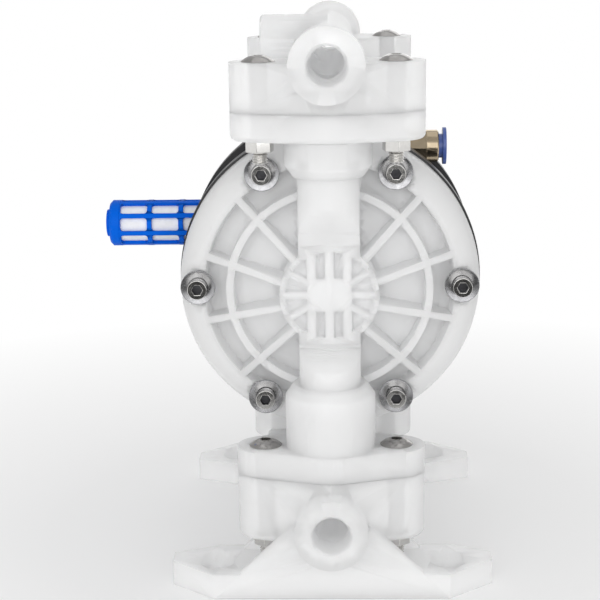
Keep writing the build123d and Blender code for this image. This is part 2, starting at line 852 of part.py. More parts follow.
# Front diaphragm: a flat rim, a rolled zone and a flat middle
roll_inner_radius = inner_plate_radius + diaphragm_flat
roll_middle_radius = (roll_inner_radius + liquid_bore_radius) / 2
with BuildPart() as front_diaphragm:
    with BuildSketch(half_section):
        with BuildLine():
            Line((stud_radius + slide_fit, disc_rim_reach), (roll_inner_radius, disc_rim_reach))
            ThreePointArc(
                (roll_inner_radius, disc_rim_reach),
                (roll_middle_radius, disc_rim_reach + diaphragm_roll - diaphragm_thickness),
                (liquid_bore_radius, disc_rim_reach),
            )
            Polyline(
                (liquid_bore_radius, disc_rim_reach),
                (chamber_radius, disc_rim_reach),
                (chamber_radius, clamp_reach),
                (liquid_bore_radius, clamp_reach),
            )
            ThreePointArc(
                (liquid_bore_radius, clamp_reach),
                (roll_middle_radius, disc_rim_reach + diaphragm_roll),
                (roll_inner_radius, clamp_reach),
            )
            Polyline(
                (roll_inner_radius, clamp_reach),
                (stud_radius + slide_fit, clamp_reach),
                (stud_radius + slide_fit, disc_rim_reach),
            )
        make_face()
    revolve(axis=pump_axis)
    with BuildSketch(facing_front(0)):
        with PolarLocations(chamber_screw_circle, chamber_screw_count):
            Circle(chamber_screw_radius + screw_hole_gap)
    extrude(amount=clamp_reach, mode=Mode.SUBTRACT)
save_pair(front_diaphragm, "diaphragm")

with BuildPart() as front_inner_plate:
    with BuildSketch(facing_front(shaft_half_length)):
        Circle(inner_plate_radius)
        Circle(stud_radius + slide_fit, mode=Mode.SUBTRACT)
    extrude(amount=inner_plate_thickness)
    plate_edges = front_inner_plate.edges().filter_by(GeomType.CIRCLE).sort_by(SortBy.RADIUS)[-2:]
    fillet(plate_edges, inner_plate_thickness / 3)
save_pair(front_inner_plate, "inner_plate")

plate_edge_reach = clamp_reach + outer_plate_edge
plate_crown_reach = clamp_reach + outer_plate_height
with BuildPart() as front_outer_plate:
    with BuildSketch(half_section):
        with BuildLine():
            Line((0, clamp_reach), (outer_plate_radius, clamp_reach))
            Line((outer_plate_radius, clamp_reach), (outer_plate_radius, plate_edge_reach))
            RadiusArc(
                (outer_plate_radius, plate_edge_reach),
                (0, plate_crown_reach),
                -crown(outer_plate_radius, plate_crown_reach - plate_edge_reach),
            )
            Line((0, plate_crown_reach), (0, clamp_reach))
        make_face()
    revolve(axis=pump_axis)
    with BuildSketch(facing_front(clamp_reach)):
        Circle(stud_radius + slide_fit)
    extrude(amount=stud_length - diaphragm_thickness + slide_fit, mode=Mode.SUBTRACT)
save_pair(front_outer_plate, "outer_plate")

# Air valve: sleeve, spool, spool rings and end plugs
with BuildPart() as valve_sleeve:
    with BuildSketch(facing_right(0, valve_height)):
        Circle(valve_sleeve_radius - slide_fit)
        Circle(valve_bore + slide_fit, mode=Mode.SUBTRACT)
    extrude(amount=sleeve_half_length, both=True)
    with BuildSketch(Plane.XY.offset(valve_height)):
        Circle(drilling_radius)
    extrude(amount=valve_sleeve_radius, mode=Mode.SUBTRACT)
    with BuildSketch(Plane((-valve_port_spacing, 0, valve_height))):
        Circle(drilling_radius)
    extrude(amount=-valve_sleeve_radius, mode=Mode.SUBTRACT)
    for side in (-1, 1):
        with BuildSketch(air_way(side)):
            Circle(drilling_radius)
        extrude(amount=valve_sleeve_radius, mode=Mode.SUBTRACT)
save(valve_sleeve, "valve_sleeve")

spool_half_length = sleeve_half_length - spool_travel - running_gap
land_places = [-spool_half_length + spool_land_width / 2, 0, spool_half_length - spool_land_width / 2]
with BuildPart() as valve_spool:
    with BuildSketch(facing_right(0, valve_height)):
        Circle(spool_waist_radius)
    extrude(amount=spool_half_length, both=True)
    for land in land_places:
        with BuildSketch(facing_right(land, valve_height)):
            Circle(valve_bore)
        extrude(amount=spool_land_width / 2, both=True)
        with BuildSketch(facing_right(land, valve_height)):
            Circle(valve_bore)
            Circle(valve_bore - spool_ring_depth, mode=Mode.SUBTRACT)
        extrude(amount=spool_ring_width / 2, both=True, mode=Mode.SUBTRACT)
save(valve_spool, "valve_spool")

with BuildPart() as spool_rings:
    for land in land_places:
        with BuildSketch(facing_right(land, valve_height)):
            Circle(valve_bore)
            Circle(valve_bore - spool_ring_depth, mode=Mode.SUBTRACT)
        extrude(amount=spool_ring_width / 2, both=True)
save(spool_rings, "spool_rings")

for plug_name, side in (("left_valve_plug", -1), ("right_valve_plug", 1)):
    with BuildPart() as valve_plug:
        with BuildSketch(facing_right(side * sleeve_half_length, valve_height)):
            Circle(valve_sleeve_radius - slide_fit)
        extrude(amount=side * plug_thickness)
        with BuildSketch(facing_right(side * block_width / 2, valve_height)):
            RegularPolygon(plug_socket_radius, 6)
        extrude(amount=-side * plug_thickness / 2, mode=Mode.SUBTRACT)
    save(valve_plug, plug_name)

# Pilot rod and its bushes
pilot_height = pump_axis_height - pilot_drop
with BuildPart() as pilot_rod:
    with BuildSketch(facing_front(0, pilot_height)):
        Circle(pilot_radius)
    extrude(amount=pilot_reach, both=True)
    chamfer(pilot_rod.edges().filter_by(GeomType.CIRCLE), rod_chamfer)
save(pilot_rod, "pilot_rod")

with BuildPart() as pilot_bushes:
    for side in (-1, 1):
        with BuildSketch(facing_front(-side * (block_half_depth - pilot_bush_length), pilot_height)):
            Circle(pilot_bush_radius - slide_fit)
            Circle(pilot_radius + slide_fit, mode=Mode.SUBTRACT)
        extrude(amount=-side * pilot_bush_length)
save(pilot_bushes, "pilot_bushes")

# Muffler: a slotted cage round a porous element, closed by a cap
cage_start = exhaust_boss_reach + muffler_shoulder
cage_end = muffler_end - muffler_cap_length
muffler_inner_radius = muffler_radius - muffler_wall
with BuildPart() as muffler_cage:
    with BuildSketch(facing_right(-exhaust_boss_reach, exhaust_height)):
        Circle(muffler_thread_radius)
    extrude(amount=muffler_thread_length)
    with BuildSketch(facing_right(-exhaust_boss_reach, exhaust_height)):
        Circle(muffler_radius)
    extrude(amount=-muffler_shoulder)
    with BuildSketch(facing_right(-cage_start, exhaust_height)):
        Circle(muffler_radius)
        Circle(muffler_inner_radius, mode=Mode.SUBTRACT)
    extrude(amount=cage_start - cage_end)
    with BuildSketch(facing_right(-cage_start, exhaust_height)):
        Circle(exhaust_drilling_radius)
    extrude(amount=muffler_shoulder + muffler_thread_length, mode=Mode.SUBTRACT)
    # Windows, cut through both walls at once, in columns along the cage
    first_window = -cage_end + (window_pitch - window_length) / 4 + window_length / 2
    for row in range(muffler_rows // 2):
        turn = radians(window_turn + 360 / muffler_rows * row)
        with BuildSketch(Plane((0, 0, exhaust_height), x_dir=(1, 0, 0), z_dir=(0, -cos(turn), sin(turn)))):
            with Locations(*[(first_window + window_pitch * k, 0) for k in range(muffler_columns)]):
                RectangleRounded(window_length, window_height, window_radius)
        extrude(amount=muffler_radius, both=True, mode=Mode.SUBTRACT)
save(muffler_cage, "muffler_cage")

with BuildPart() as muffler_element:
    with BuildSketch(facing_right(-cage_start, exhaust_height)):
        Circle(muffler_inner_radius - slide_fit)
        Circle(muffler_inner_radius - element_wall, mode=Mode.SUBTRACT)
    extrude(amount=cage_start - cage_end)
save(muffler_element, "muffler_element")

with BuildPart() as muffler_cap:
    with BuildSketch(facing_right(-cage_end, exhaust_height)):
        Circle(muffler_radius)
    extrude(amount=cage_end - muffler_end)
    chamfer(muffler_cap.edges().sort_by(Axis.X)[0], muffler_bevel)
    with BuildSketch(facing_right(-muffler_end, exhaust_height)):
        Circle(muffler_nub_radius)
    extrude(amount=-muffler_nub)
save(muffler_cap, "muffler_cap")

# Tube fitting with its seal, grip ring and release collar
hex_end = inlet_boss_reach + hex_length
fitting_end = hex_end + fitting_length
cavity_start = fitting_end - fitting_mouth_length - fitting_cavity_length
with BuildPart() as inlet_fitting:
    with BuildSketch(facing_right(inlet_boss_reach, inlet_air_height)):
        Circle(fitting_thread_radius)
    extrude(amount=-fitting_thread_length)
    with BuildSketch(facing_right(inlet_boss_reach, inlet_air_height)):
        RegularPolygon(hex_across_flats / 2, 6, major_radius=False)
    extrude(amount=hex_length)
    with BuildSketch(facing_right(hex_end, inlet_air_height)):
        Circle(fitting_radius)
    extrude(amount=fitting_length)
    chamfer(inlet_fitting.edges().filter_by(GeomType.CIRCLE).sort_by(Axis.X)[-1], fitting_chamfer)
    with BuildSketch(facing_right(inlet_boss_reach - fitting_thread_length, inlet_air_height)):
        Circle(drilling_radius)
    extrude(amount=fitting_end, mode=Mode.SUBTRACT)
    with BuildSketch(facing_right(inlet_boss_reach + tube_stop, inlet_air_height)):
        Circle(tube_radius + slide_fit)
    extrude(amount=fitting_end, mode=Mode.SUBTRACT)
    with BuildSketch(facing_right(cavity_start, inlet_air_height)):
        Circle(fitting_cavity_radius)
    extrude(amount=fitting_cavity_length, mode=Mode.SUBTRACT)
    with BuildSketch(facing_right(fitting_end - fitting_mouth_length, inlet_air_height)):
        Circle(fitting_mouth_radius)
    extrude(amount=fitting_mouth_length, mode=Mode.SUBTRACT)
save(inlet_fitting, "inlet_fitting")

with BuildPart() as tube_seal:
    with BuildSketch(facing_right(cavity_start, inlet_air_height)):
        Circle(fitting_cavity_radius - slide_fit)
        Circle(tube_radius + slide_fit, mode=Mode.SUBTRACT)
    extrude(amount=tube_seal_width)
save(tube_seal, "tube_seal")

with BuildPart() as grip_ring:
    with BuildSketch(facing_right(cavity_start + tube_seal_width, inlet_air_height)):
        Circle(fitting_cavity_radius - slide_fit)
        Circle(tube_radius + slide_fit, mode=Mode.SUBTRACT)
    extrude(amount=grip_thickness)
save(grip_ring, "grip_ring")

collar_start = cavity_start + tube_seal_width + grip_thickness + collar_travel + running_gap
collar_flange_start = fitting_end + collar_travel + collar_stand_off
with BuildPart() as release_collar:
    with BuildSketch(facing_right(collar_start, inlet_air_height)):
        Circle(collar_outer_radius)
    extrude(amount=collar_flange_start - collar_start)
    with BuildSketch(facing_right(collar_start, inlet_air_height)):
        Circle(fitting_cavity_radius - running_gap)
    extrude(amount=collar_barb)
    with BuildSketch(facing_right(collar_flange_start, inlet_air_height)):
        Ellipse(collar_flange_width / 2, collar_flange_height / 2)
    extrude(amount=collar_flange_thickness)
    with BuildSketch(facing_right(collar_start, inlet_air_height)):
        Circle(tube_radius + slide_fit)
    extrude(amount=collar_flange_start + collar_flange_thickness - collar_start, mode=Mode.SUBTRACT)
save(release_collar, "release_collar")

# Screws, washers and nuts that clamp the chambers, diaphragms and discs
head_reach = screw_seat_reach + washer_thickness
with BuildPart() as front_chamber_screws:
    with BuildSketch(facing_front(head_reach)):
        with PolarLocations(chamber_screw_circle, chamber_screw_count):
            Circle(screw_head_radius)
    extrude(amount=screw_head_height)
    with BuildSketch(facing_front(head_reach + screw_head_height)):
        with PolarLocations(chamber_screw_circle, chamber_screw_count):
            RegularPolygon(screw_socket_radius, 6)
    extrude(amount=-screw_socket_depth, mode=Mode.SUBTRACT)
    with BuildSketch(facing_front(head_reach)):
        with PolarLocations(chamber_screw_circle, chamber_screw_count):
            Circle(chamber_screw_radius)
    extrude(amount=nut_reach - chamber_nut_height - chamber_screw_end - head_reach)
save_pair(front_chamber_screws, "chamber_screws")

with BuildPart() as front_chamber_washers:
    with BuildSketch(facing_front(screw_seat_reach)):
        with PolarLocations(chamber_screw_circle, chamber_screw_count):
            Circle(washer_radius)
            Circle(chamber_screw_radius + slide_fit, mode=Mode.SUBTRACT)
    extrude(amount=washer_thickness)
save_pair(front_chamber_washers, "chamber_washers")

with BuildPart() as front_chamber_nuts:
    with BuildSketch(facing_front(nut_reach)):
        with PolarLocations(chamber_screw_circle, chamber_screw_count):
            RegularPolygon(chamber_nut_radius, 6)
            Circle(chamber_screw_radius + slide_fit, mode=Mode.SUBTRACT)
    extrude(amount=-chamber_nut_height)
save_pair(front_chamber_nuts, "chamber_nuts")

# Screws and nuts of the valve flanges
ear_places = [(x, side * column_offset) for x in (-ear_offset, ear_offset) for side in (-1, 1)]
button_sphere = crown(button_radius, button_height)


def flange_fasteners(name, head_height, nut_top):
    """Domed socket screws from a head height down through the nuts of two flanges, and those nuts"""
    with BuildPart() as screws:
        with BuildSketch(Plane.XY.offset(head_height)):
            with Locations(*ear_places):
                Circle(flange_screw_radius)
        extrude(amount=nut_top - flange_nut_height - flange_screw_end - head_height)
        with Locations(*[(x, y, head_height) for x, y in ear_places]):
            Sphere(
                button_sphere,
                arc_size1=degrees(asin(1 - button_height / button_sphere)),
                align=(Align.CENTER, Align.CENTER, Align.MIN),
            )
        with BuildSketch(Plane.XY.offset(head_height + button_height)):
            with Locations(*ear_places):
                RegularPolygon(button_socket_radius, 6)
        extrude(amount=-button_socket_depth, mode=Mode.SUBTRACT)
    save(screws, f"{name}_screws")

    with BuildPart() as nuts:
        for side in (-1, 1):
            with BuildSketch(Plane.XY.offset(nut_top)):
                with Locations((side * ear_offset, -column_offset), (side * ear_offset, column_offset)):
                    RegularPolygon(flange_nut_radius, 6, rotation=-side * flange_nut_turn)
                    Circle(flange_screw_radius + slide_fit, mode=Mode.SUBTRACT)
            extrude(amount=-flange_nut_height)
    save(nuts, f"{name}_nuts")


flange_fasteners(
    "outlet", upper_joint_height + outlet_manifold_flange, upper_joint_height - outlet_chamber_flange
)
flange_fasteners("inlet", lower_joint_height + inlet_chamber_flange, flange_underside)
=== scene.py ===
import json
from math import cos, radians, sin

import bpy
from mathutils import Matrix, Vector


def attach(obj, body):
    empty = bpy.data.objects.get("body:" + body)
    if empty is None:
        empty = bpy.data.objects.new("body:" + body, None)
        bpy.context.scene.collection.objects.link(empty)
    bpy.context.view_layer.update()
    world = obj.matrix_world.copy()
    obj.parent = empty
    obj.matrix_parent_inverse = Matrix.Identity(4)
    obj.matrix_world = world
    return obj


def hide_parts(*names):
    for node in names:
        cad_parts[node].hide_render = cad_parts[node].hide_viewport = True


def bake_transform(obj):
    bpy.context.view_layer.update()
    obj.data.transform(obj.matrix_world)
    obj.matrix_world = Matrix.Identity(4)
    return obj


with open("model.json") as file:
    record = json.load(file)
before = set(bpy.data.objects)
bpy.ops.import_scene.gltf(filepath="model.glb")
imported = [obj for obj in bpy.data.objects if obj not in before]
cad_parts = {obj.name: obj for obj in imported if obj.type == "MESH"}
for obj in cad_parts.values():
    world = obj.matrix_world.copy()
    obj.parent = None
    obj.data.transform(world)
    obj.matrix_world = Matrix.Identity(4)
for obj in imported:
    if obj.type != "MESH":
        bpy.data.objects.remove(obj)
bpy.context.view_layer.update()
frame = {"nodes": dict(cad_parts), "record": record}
nodes = frame["nodes"]
body_of_node = {
    node: body for body, members in frame["record"]["behaviour"]["bodies"].items() for node in members
}
slot_of_node = {entry["node"]: entry["material_slot"] for entry in frame["record"]["subparts"]}

# Sizes and places of the pump that the modelled details follow, in metres, and one angle in degrees
lower_joint_height = 0.0588
split_rise = 0.0028
pump_axis_height = 0.1526
chamber_radius = 0.078
sector_angle = 30
disc_stand_out = 0.0012
chamber_screw_circle = 0.06806
head_top_reach = 0.0662
head_radius = 0.005
head_rounding = 0.0009
small_rounding = 0.0002
turned_rounding = 0.0003
nut_rounding = 0.0006
socket_radius = 0.0032
socket_depth = 0.003
washer_front_reach = 0.0603
washer_radius = 0.009
washer_dish = 0.0009
washer_edge = 0.001
button_height = 0.0034
column_offset = 0.0827
ear_offset = 0.0335
flange_screw_radius = 0.004
thread_pitch = 0.00125
thread_depth = 0.0006
thread_overlap = 0.002
# Underside of the nuts and lower end of the screws, at the upper and the lower flanges
screw_ends = {"outlet_screws": (0.226, 0.22), "inlet_screws": (0.0216, 0.0156)}
# How near counts as at a place, and how near points are joined
place_slack = 0.0001
merge_distance = 0.00001


def place_camera():
    """Camera in front of the pump and a little above it, looking down on the ribbed chamber"""
    place = Vector((0.006281, -0.862974, 0.337067))
    pitch, yaw, roll = 0.234, 0.027, 0.015
    forward = Vector((-sin(yaw) * cos(pitch), cos(yaw) * cos(pitch), -sin(pitch)))
    level_right = Vector((cos(yaw), sin(yaw), 0))
    level_up = level_right.cross(forward)
    right = cos(roll) * level_right - sin(roll) * level_up
    up = sin(roll) * level_right + cos(roll) * level_up
    bpy.ops.object.camera_add()
    camera = bpy.context.active_object
    camera.name = "studio_camera"
    turn = Matrix((right, up, -forward)).transposed().to_4x4()
    camera.matrix_world = Matrix.Translation(place) @ turn
    camera.data.lens = 96
    camera.data.sensor_width = 36
    camera.data.clip_start = 0.05
    bpy.context.scene.camera = camera


place_camera()
bpy.context.scene.view_settings.view_transform = "Standard"


# Shared effects, each a node group that materials set with their own values
def new_group(name, inputs, outputs):
    """Node group with its named sockets, its input node and its output node"""
    group = bpy.data.node_groups.new(name, "ShaderNodeTree")
    for label, kind, value in inputs:
        socket = group.interface.new_socket(name=label, in_out="INPUT", socket_type=kind)
        socket.default_value = value
    for label, kind in outputs:
        group.interface.new_socket(name=label, in_out="OUTPUT", socket_type=kind)
    return group, group.nodes.new("NodeGroupInput"), group.nodes.new("NodeGroupOutput")


def wire(tree, start, end):
    """Link from an output to an input"""
    tree.links.new(start, end)


def add_node(tree, kind, **settings):
    """Node with the settings given; a setting that names an input goes to its socket"""
    node = tree.nodes.new(kind)
    for label, value in settings.items():
        if hasattr(node, label):
            setattr(node, label, value)
        else:
            node.inputs[label.replace("_", " ")].default_value = value
    return node


def noise(tree, scale, detail):
    """Noise on the piece's own coordinates"""
    place = tree.nodes.new("ShaderNodeTexCoord")
    texture = add_node(tree, "ShaderNodeTexNoise", Scale=scale, Detail=detail)
    wire(tree, place.outputs["Object"], texture.inputs["Vector"])
    return texture.outputs["Fac"]


def spread(tree, value, low, high, from_low=0.35, from_high=0.65):
    """Map Range from the middle of a noise to a low and a high value"""
    ranged = tree.nodes.new("ShaderNodeMapRange")
    ranged.inputs["From Min"].default_value = from_low
    ranged.inputs["From Max"].default_value = from_high
    for label, end in (("To Min", low), ("To Max", high)):
        if isinstance(end, (int, float)):
            ranged.inputs[label].default_value = end
        else:
            wire(tree, end, ranged.inputs[label])
    wire(tree, value, ranged.inputs["Value"])
    return ranged.outputs["Result"]


def moulded_surface_group():
    """Moulded plastic: cloudy colour, uneven gloss and a fine grain, with softened edges"""
    group, entry, result = new_group(
        "moulded_surface",
        (
            ("Color", "NodeSocketColor", (0.8, 0.8, 0.8, 1)),
            ("Cloud Color", "NodeSocketColor", (0.7, 0.7, 0.7, 1)),
            ("Cloud Scale", "NodeSocketFloat", 25.0),
            ("Low Roughness", "NodeSocketFloat", 0.35),
            ("High Roughness", "NodeSocketFloat", 0.5),
            ("Grain Scale", "NodeSocketFloat", 900.0),
            ("Grain", "NodeSocketFloat", 0.1),
        ),
        (("Color", "NodeSocketColor"), ("Roughness", "NodeSocketFloat"), ("Normal", "NodeSocketVector")),
    )
    place = group.nodes.new("ShaderNodeTexCoord")
    cloud = add_node(group, "ShaderNodeTexNoise", Detail=3.0)
    wire(group, place.outputs["Object"], cloud.inputs["Vector"])
    wire(group, entry.outputs["Cloud Scale"], cloud.inputs["Scale"])
    mix = add_node(group, "ShaderNodeMix", data_type="RGBA")
    wire(group, spread(group, cloud.outputs["Fac"], 0, 1), mix.inputs["Factor"])
    wire(group, entry.outputs["Color"], mix.inputs[6])
    wire(group, entry.outputs["Cloud Color"], mix.inputs[7])
    wire(group, mix.outputs[2], result.inputs["Color"])
    handled = noise(group, 60.0, 4.0)
    wire(
        group,
        spread(group, handled, entry.outputs["Low Roughness"], entry.outputs["High Roughness"]),
        result.inputs["Roughness"],
    )
    grain = add_node(group, "ShaderNodeTexNoise", Detail=2.0)
    wire(group, place.outputs["Object"], grain.inputs["Vector"])
    wire(group, entry.outputs["Grain Scale"], grain.inputs["Scale"])
    bump = add_node(group, "ShaderNodeBump", Distance=0.0002)
    wire(group, entry.outputs["Grain"], bump.inputs["Strength"])
    wire(group, grain.outputs["Fac"], bump.inputs["Height"])
    rounded = add_node(group, "ShaderNodeBevel", samples=4)
    rounded.inputs["Radius"].default_value = 0.0004
    wire(group, rounded.outputs["Normal"], bump.inputs["Normal"])
    wire(group, bump.outputs["Normal"], result.inputs["Normal"])
    return group


moulded_surface = moulded_surface_group()


def node_of_kind(tree, kind):
    """The first node of a kind that a tree holds"""
    return next(node for node in tree.nodes if node.type == kind)


def new_material(name):
    """Material with its node tree and its Principled shader"""
    material = bpy.data.materials.new(name)
    material.use_nodes = True
    return material, material.node_tree, node_of_kind(material.node_tree, "BSDF_PRINCIPLED")


def plastic(
    name, color, cloud_color, low, high, grain, cloud_scale=25.0, grain_scale=900.0, specular=0.5
):
    """Moulded plastic in one colour with a little cloud of another, and a roughness from low to high"""
    material, tree, shader = new_material(name)
    surface = tree.nodes.new("ShaderNodeGroup")
    surface.node_tree = moulded_surface
    surface.inputs["Color"].default_value = (*color, 1)
    surface.inputs["Cloud Color"].default_value = (*cloud_color, 1)
    surface.inputs["Cloud Scale"].default_value = cloud_scale
    surface.inputs["Low Roughness"].default_value = low
    surface.inputs["High Roughness"].default_value = high
    surface.inputs["Grain Scale"].default_value = grain_scale
    surface.inputs["Grain"].default_value = grain
    wire(tree, surface.outputs["Color"], shader.inputs["Base Color"])
    wire(tree, surface.outputs["Roughness"], shader.inputs["Roughness"])
    wire(tree, surface.outputs["Normal"], shader.inputs["Normal"])
    shader.inputs["Specular IOR Level"].default_value = specular
    return material


def make_milky(material):
    """Milky plastic: light scatters inside, and a part of it goes straight through, so that the screws
    show in the flanges. Less goes through at the level of the chambers, where the walls are thick"""
    tree = material.node_tree
    shader = node_of_kind(tree, "BSDF_PRINCIPLED")
    shader.inputs["Subsurface Weight"].default_value = 1.0
    shader.inputs["Subsurface Radius"].default_value = (1.0, 1.0, 1.0)
    shader.inputs["Subsurface Scale"].default_value = 0.01
    shader.inputs["IOR"].default_value = 1.49
    clear = add_node(tree, "ShaderNodeBsdfTransparent", Color=(1, 1, 1, 1))
    milk = tree.nodes.new("ShaderNodeMixShader")
    place = tree.nodes.new("ShaderNodeTexCoord")
    axes = tree.nodes.new("ShaderNodeSeparateXYZ")
    wire(tree, place.outputs["Object"], axes.inputs[0])
    lift = add_node(tree, "ShaderNodeMath", operation="SUBTRACT")
    lift.inputs[1].default_value = pump_axis_height
    wire(tree, axes.outputs["Z"], lift.inputs[0])
    level = add_node(tree, "ShaderNodeMath", operation="ABSOLUTE")
    wire(tree, lift.outputs[0], level.inputs[0])
    wire(tree, spread(tree, level.outputs[0], 0.26, 0.42, 0.07, 0.105), milk.inputs["Fac"])
    wire(tree, shader.outputs[0], milk.inputs[1])
    wire(tree, clear.outputs[0], milk.inputs[2])
    wire(tree, milk.outputs[0], node_of_kind(tree, "OUTPUT_MATERIAL").inputs["Surface"])


natural_plastic = plastic(
    "natural_polypropylene", (0.977, 0.979, 0.986), (0.962, 0.964, 0.972), 0.36, 0.46, 0.08
)
make_milky(natural_plastic)
black_plastic = plastic(
    "black_polypropylene", (0.018, 0.018, 0.019), (0.028, 0.028, 0.03), 0.28, 0.42, 0.3
)
blue_plastic = plastic(
    "blue_muffler_plastic", (0.0005, 0.12, 0.68), (0.0005, 0.105, 0.62), 0.3, 0.42, 0.15, specular=0.05
)
collar_blue = plastic("blue_collar_plastic", (0.08, 0.13, 0.4), (0.07, 0.12, 0.36), 0.2, 0.3, 0.1)
porous_white = plastic(
    "porous_polyethylene",
    (0.88, 0.88, 0.89),
    (0.82, 0.82, 0.83),
    0.7,
    0.9,
    1.0,
    cloud_scale=300.0,
    grain_scale=1500.0,
)
white_ptfe = plastic("white_ptfe", (0.88, 0.88, 0.86), (0.84, 0.84, 0.82), 0.3, 0.4, 0.1)
rubber = plastic("nitrile_rubber", (0.02, 0.02, 0.02), (0.03, 0.03, 0.03), 0.55, 0.75, 0.5)
bush_plastic = plastic("grey_acetal", (0.03, 0.03, 0.033), (0.04, 0.04, 0.043), 0.3, 0.4, 0.1)


def metal(name, color, dull_color, low, high):
    """Polished metal with a faint unevenness in its colour and gloss"""
    scale = 250.0
    material, tree, shader = new_material(name)
    shader.inputs["Metallic"].default_value = 1.0
    mix = add_node(tree, "ShaderNodeMix", data_type="RGBA")
    mix.inputs[6].default_value = (*color, 1)
    mix.inputs[7].default_value = (*dull_color, 1)
    wire(tree, spread(tree, noise(tree, scale, 4.0), 0, 1), mix.inputs["Factor"])
    wire(tree, mix.outputs[2], shader.inputs["Base Color"])
    wire(tree, spread(tree, noise(tree, scale * 2, 3.0), low, high), shader.inputs["Roughness"])
    bump = add_node(tree, "ShaderNodeBump", Strength=0.03, Distance=0.0001)
    wire(tree, noise(tree, scale * 2, 2.0), bump.inputs["Height"])
    rounded = add_node(tree, "ShaderNodeBevel", samples=4)
    rounded.inputs["Radius"].default_value = 0.0003
    wire(tree, rounded.outputs["Normal"], bump.inputs["Normal"])
    wire(tree, bump.outputs["Normal"], shader.inputs["Normal"])
    return material


stainless = metal("stainless_steel", (0.72, 0.71, 0.69), (0.66, 0.65, 0.63), 0.1, 0.16)
washer_steel = metal("washer_steel", (0.44, 0.44, 0.45), (0.38, 0.38, 0.39), 0.2, 0.28)
button_steel = metal("button_steel", (0.42, 0.41, 0.4), (0.36, 0.35, 0.34), 0.13, 0.19)
# Near-black steel is painted shade: it goes on the insides of the screw sockets and on the screw shanks
# in the flange holes
painted_shade_steel = metal("painted_shade_steel", (0.09, 0.09, 0.095), (0.06, 0.06, 0.065), 0.35, 0.45)
shaft_steel = metal("ground_steel", (0.6, 0.6, 0.6), (0.5, 0.5, 0.5), 0.15, 0.22)
brass = metal("plated_brass", (0.5, 0.41, 0.29), (0.45, 0.37, 0.26), 0.16, 0.22)
aluminium = metal("turned_aluminium", (0.7, 0.71, 0.72), (0.6, 0.61, 0.62), 0.25, 0.4)

finish_of_slot = {
    "natural_plastic": natural_plastic,
    "black_plastic": black_plastic,
    "muffler_plastic": blue_plastic,
    "porous_white": porous_white,
    "steel_screw": stainless,
    "shaft_steel": shaft_steel,
    "plated_brass": brass,
    "collar_plastic": collar_blue,
    "rubber_seal": rubber,
    "white_ptfe": white_ptfe,
    "aluminium_part": aluminium,
    "plate_plastic": natural_plastic,
    "bush_plastic": bush_plastic,
}
for node, thing in nodes.items():
    for material_slot in thing.material_slots:
        material_slot.material = finish_of_slot[slot_of_node[node]]


def only_select(thing):
    """Makes one object the selected and active one"""
    bpy.ops.object.select_all(action="DESELECT")
    thing.select_set(True)
    bpy.context.view_layer.objects.active = thing


def round_edges(piece, width, fits=None, segments=3):
    """Rounds the sharp edges of a piece, or only those with both ends where the test says they are"""
    bpy.ops.object.mode_set(mode="EDIT")
    bpy.ops.mesh.select_mode(type="EDGE")
    bpy.ops.mesh.select_all(action="SELECT")
    bpy.ops.mesh.dissolve_limited(angle_limit=radians(1))
    bpy.ops.mesh.select_all(action="DESELECT")
    bpy.ops.mesh.edges_select_sharp(sharpness=radians(50))
    bpy.ops.object.mode_set(mode="OBJECT")
    if fits:
        points = piece.data.vertices
        for edge in piece.data.edges:
            edge.select = edge.select and all(fits(points[end].co) for end in edge.vertices)
    bpy.ops.object.mode_set(mode="EDIT")
    bpy.ops.mesh.bevel(offset=width, segments=segments, affect="EDGES", clamp_overlap=True)
    bpy.ops.object.mode_set(mode="OBJECT")


def from_screws(spot):
    """Distances of a spot from the axes of the six chamber screws"""
    distances = []
    for turn in range(0, 360, 60):
        across = spot.x - chamber_screw_circle * cos(radians(turn))
        above = spot.z - pump_axis_height - chamber_screw_circle * sin(radians(turn))
        distances.append((across**2 + above**2) ** 0.5)
    return distances


def on_head_rim(spot):
    """Is the spot on the front outer edge of one of the cap screws?"""
    in_front = abs(abs(spot.y) - head_top_reach) < place_slack
    return in_front and any(abs(distance - head_radius) < place_slack for distance in from_screws(spot))


def give_finish(piece, finish, fits):
    """Another material for the faces of a piece that pass a test"""
    piece.data.materials.append(finish)
    for face in piece.data.polygons:
        if fits(face.center):
            face.material_index = len(piece.data.materials) - 1


def in_socket(spot):
    """Is the spot inside the hexagon socket of one of the cap screws?"""
    depth = head_top_reach - abs(spot.y)
    inside = small_rounding < depth < socket_depth + small_rounding
    return inside and min(from_screws(spot)) < socket_radius


def round_cap_screws(piece):
    """Rounded rims on the heads of the cap screws, small roundings at their other edges, and sockets
    painted near black as painted shade deep inside them
    """
    round_edges(piece, head_rounding, fits=on_head_rim, segments=5)
    round_edges(piece, small_rounding, segments=2)
    # Socket insides painted near black as painted shade
    give_finish(piece, painted_shade_steel, in_socket)


def round_small(piece):
    """Small roundings, for turned pieces"""
    round_edges(piece, turned_rounding)


def round_nuts(piece):
    """Nuts with their corners taken off"""
    round_edges(piece, nut_rounding)


def select_points(piece, fits):
    """Selects the points of a piece that pass a test, and stays in edit mode"""
    bpy.ops.object.mode_set(mode="EDIT")
    bpy.ops.mesh.select_mode(type="VERT")
    bpy.ops.mesh.select_all(action="DESELECT")
    bpy.ops.object.mode_set(mode="OBJECT")
    for point in piece.data.vertices:
        point.select = fits(point.co)
    bpy.ops.object.mode_set(mode="EDIT")


def move_points(piece, fits, shift):
    """Moves the points of a piece that pass a test"""
    select_points(piece, fits)
    bpy.ops.transform.translate(value=shift)
    bpy.ops.object.mode_set(mode="OBJECT")


